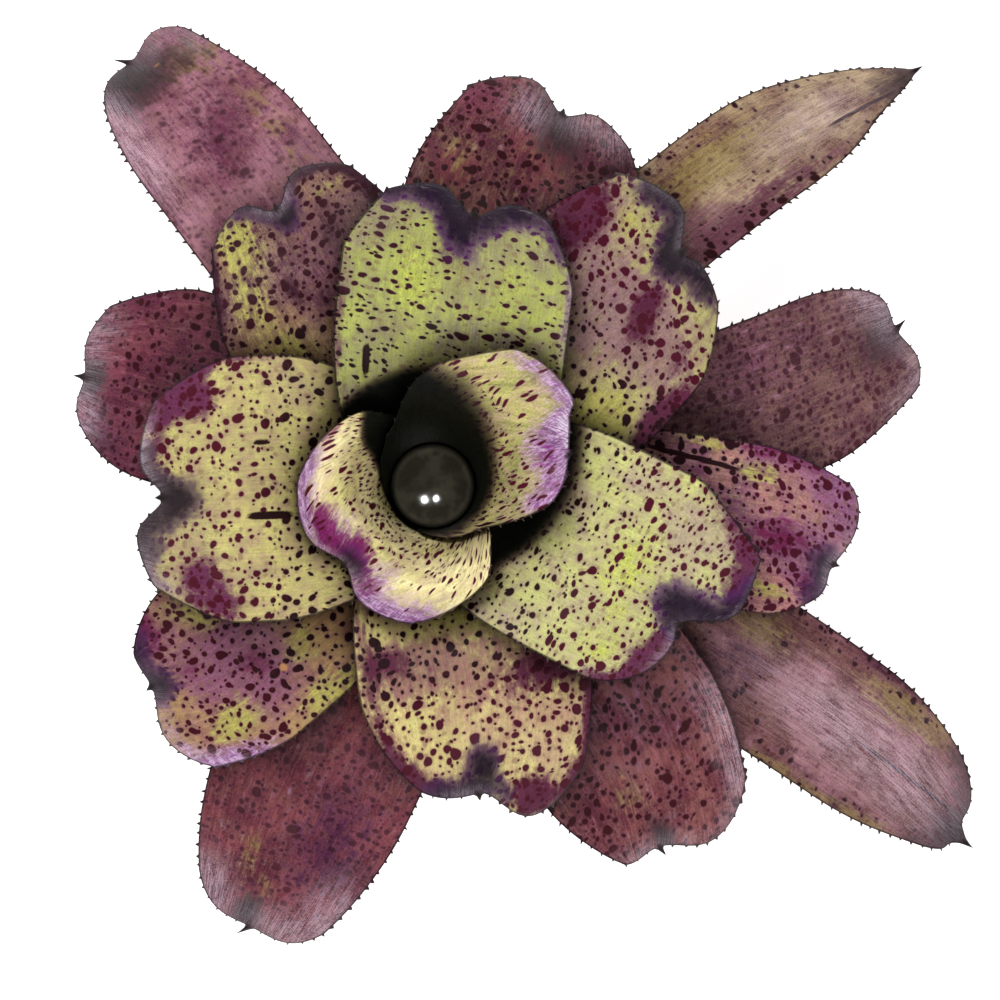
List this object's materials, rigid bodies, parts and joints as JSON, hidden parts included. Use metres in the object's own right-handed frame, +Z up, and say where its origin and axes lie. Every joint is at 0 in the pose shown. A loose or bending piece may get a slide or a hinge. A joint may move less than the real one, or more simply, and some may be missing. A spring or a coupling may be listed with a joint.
{
  "type": "neoregelia bromeliad",
  "caption": "Open rosette of broad, blunt, spiny-edged spotted leaves round a central tank of water, on a short cut stem.",
  "frame": {"origin": "on the level of the stem's cut face, which the plant stands on, under the middle of the plant's outline", "axes": "+Z up along the stem; +X and +Y as the right and the top of the plant seen from above"},
  "size_m": [0.2996, 0.3084, 0.1138],
  "materials": {
    "stem": "dry, fibrous, brown",
    "water": "still, dark water",
    "young_leaf": "satin yellow-green with maroon spots",
    "middle_leaf": "satin, green blotched with purple",
    "old_leaf": "satin wine red, silvery at the tip"
  },
  "bodies": {
    "root": {"stem": "stem", "tank_water": "water", "leaf_01": "young_leaf", "leaf_02": "young_leaf", "leaf_03": "young_leaf", "leaf_04": "young_leaf", "leaf_05": "young_leaf", "leaf_06": "middle_leaf", "leaf_07": "middle_leaf", "leaf_08": "middle_leaf", "leaf_09": "middle_leaf", "leaf_10": "middle_leaf", "leaf_11": "old_leaf", "leaf_12": "old_leaf", "leaf_13": "old_leaf", "leaf_14": "old_leaf", "leaf_15": "old_leaf", "leaf_16": "old_leaf", "leaf_17": "old_leaf", "leaf_18": "old_leaf"}
  },
  "joints": []
}
